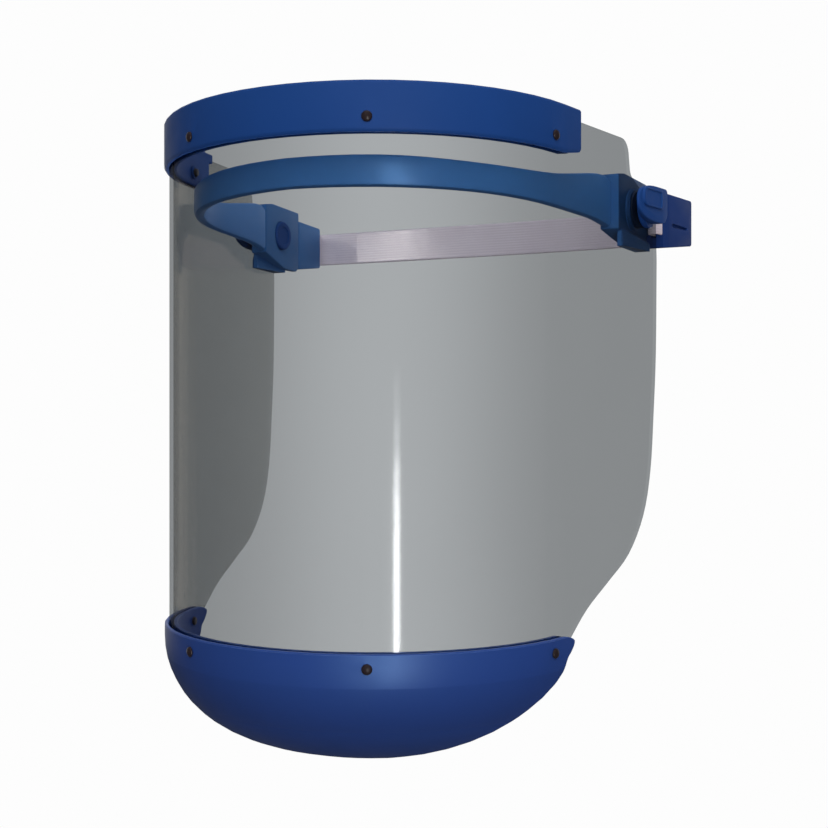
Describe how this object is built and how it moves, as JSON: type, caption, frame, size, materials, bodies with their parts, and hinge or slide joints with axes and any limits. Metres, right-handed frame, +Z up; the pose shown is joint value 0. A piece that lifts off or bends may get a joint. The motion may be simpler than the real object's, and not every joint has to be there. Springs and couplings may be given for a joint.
{
  "type": "face shield",
  "caption": "Tilting face shield for a safety helmet: tinted wraparound window with brow band and chin guard, on a carrier bow with side pivots and an elastic strap.",
  "frame": {"origin": "middle of the tilt axis, which runs through both pivots", "axes": "-Y is the front of the shield, +Z is up, +X is the wearer's left; the part is the same on both sides of X = 0"},
  "size_m": [0.2608, 0.2508, 0.3103],
  "materials": {
    "visor": "polished, grey tint, see-through",
    "blue": "injection moulded, satin",
    "rivet": "moulded, dark",
    "steel": "zinc plated",
    "acetal": "natural, turned",
    "strap": "woven elastic"
  },
  "bodies": {
    "carrier": {"carrier_bow": "blue", "head_strap": "strap", "pivot_bracket_left": "blue", "pivot_bracket_right": "blue", "strap_block_left": "blue", "strap_block_right": "blue", "strap_pin_left": "steel", "strap_pin_right": "steel", "pivot_stud_left": "blue", "pivot_stud_right": "blue", "friction_washer_left": "steel", "friction_washer_right": "steel"},
    "visor": {"visor_window": "visor", "brow_band": "blue", "chin_guard": "blue", "brow_washer_1": "rivet", "brow_washer_2": "rivet", "brow_washer_3": "rivet", "brow_washer_4": "rivet", "brow_rivet_1": "rivet", "brow_rivet_2": "rivet", "brow_rivet_3": "rivet", "brow_rivet_4": "rivet", "chin_rivet_1": "rivet", "chin_rivet_2": "rivet", "chin_rivet_3": "rivet", "chin_rivet_4": "rivet", "inner_hub_left": "acetal", "inner_hub_right": "acetal", "outer_washer_left": "blue", "outer_washer_right": "blue"},
    "knob_left": {"pivot_knob_left": "blue"},
    "knob_right": {"pivot_knob_right": "blue"}
  },
  "joints": [
    {"name": "visor_tilt", "type": "hinge", "parent": "carrier", "child": "visor", "pos_m": [0, 0, 0], "axis": [-1, 0, 0], "range_deg": [0, 85]},
    {"name": "knob_left_turn", "type": "hinge", "parent": "carrier", "child": "knob_left", "pos_m": [0.125, 0, 0], "axis": [1, 0, 0], "range_deg": [-90, 90]},
    {"name": "knob_right_turn", "type": "hinge", "parent": "carrier", "child": "knob_right", "pos_m": [-0.125, 0, 0], "axis": [1, 0, 0], "range_deg": [-90, 90]}
  ]
}
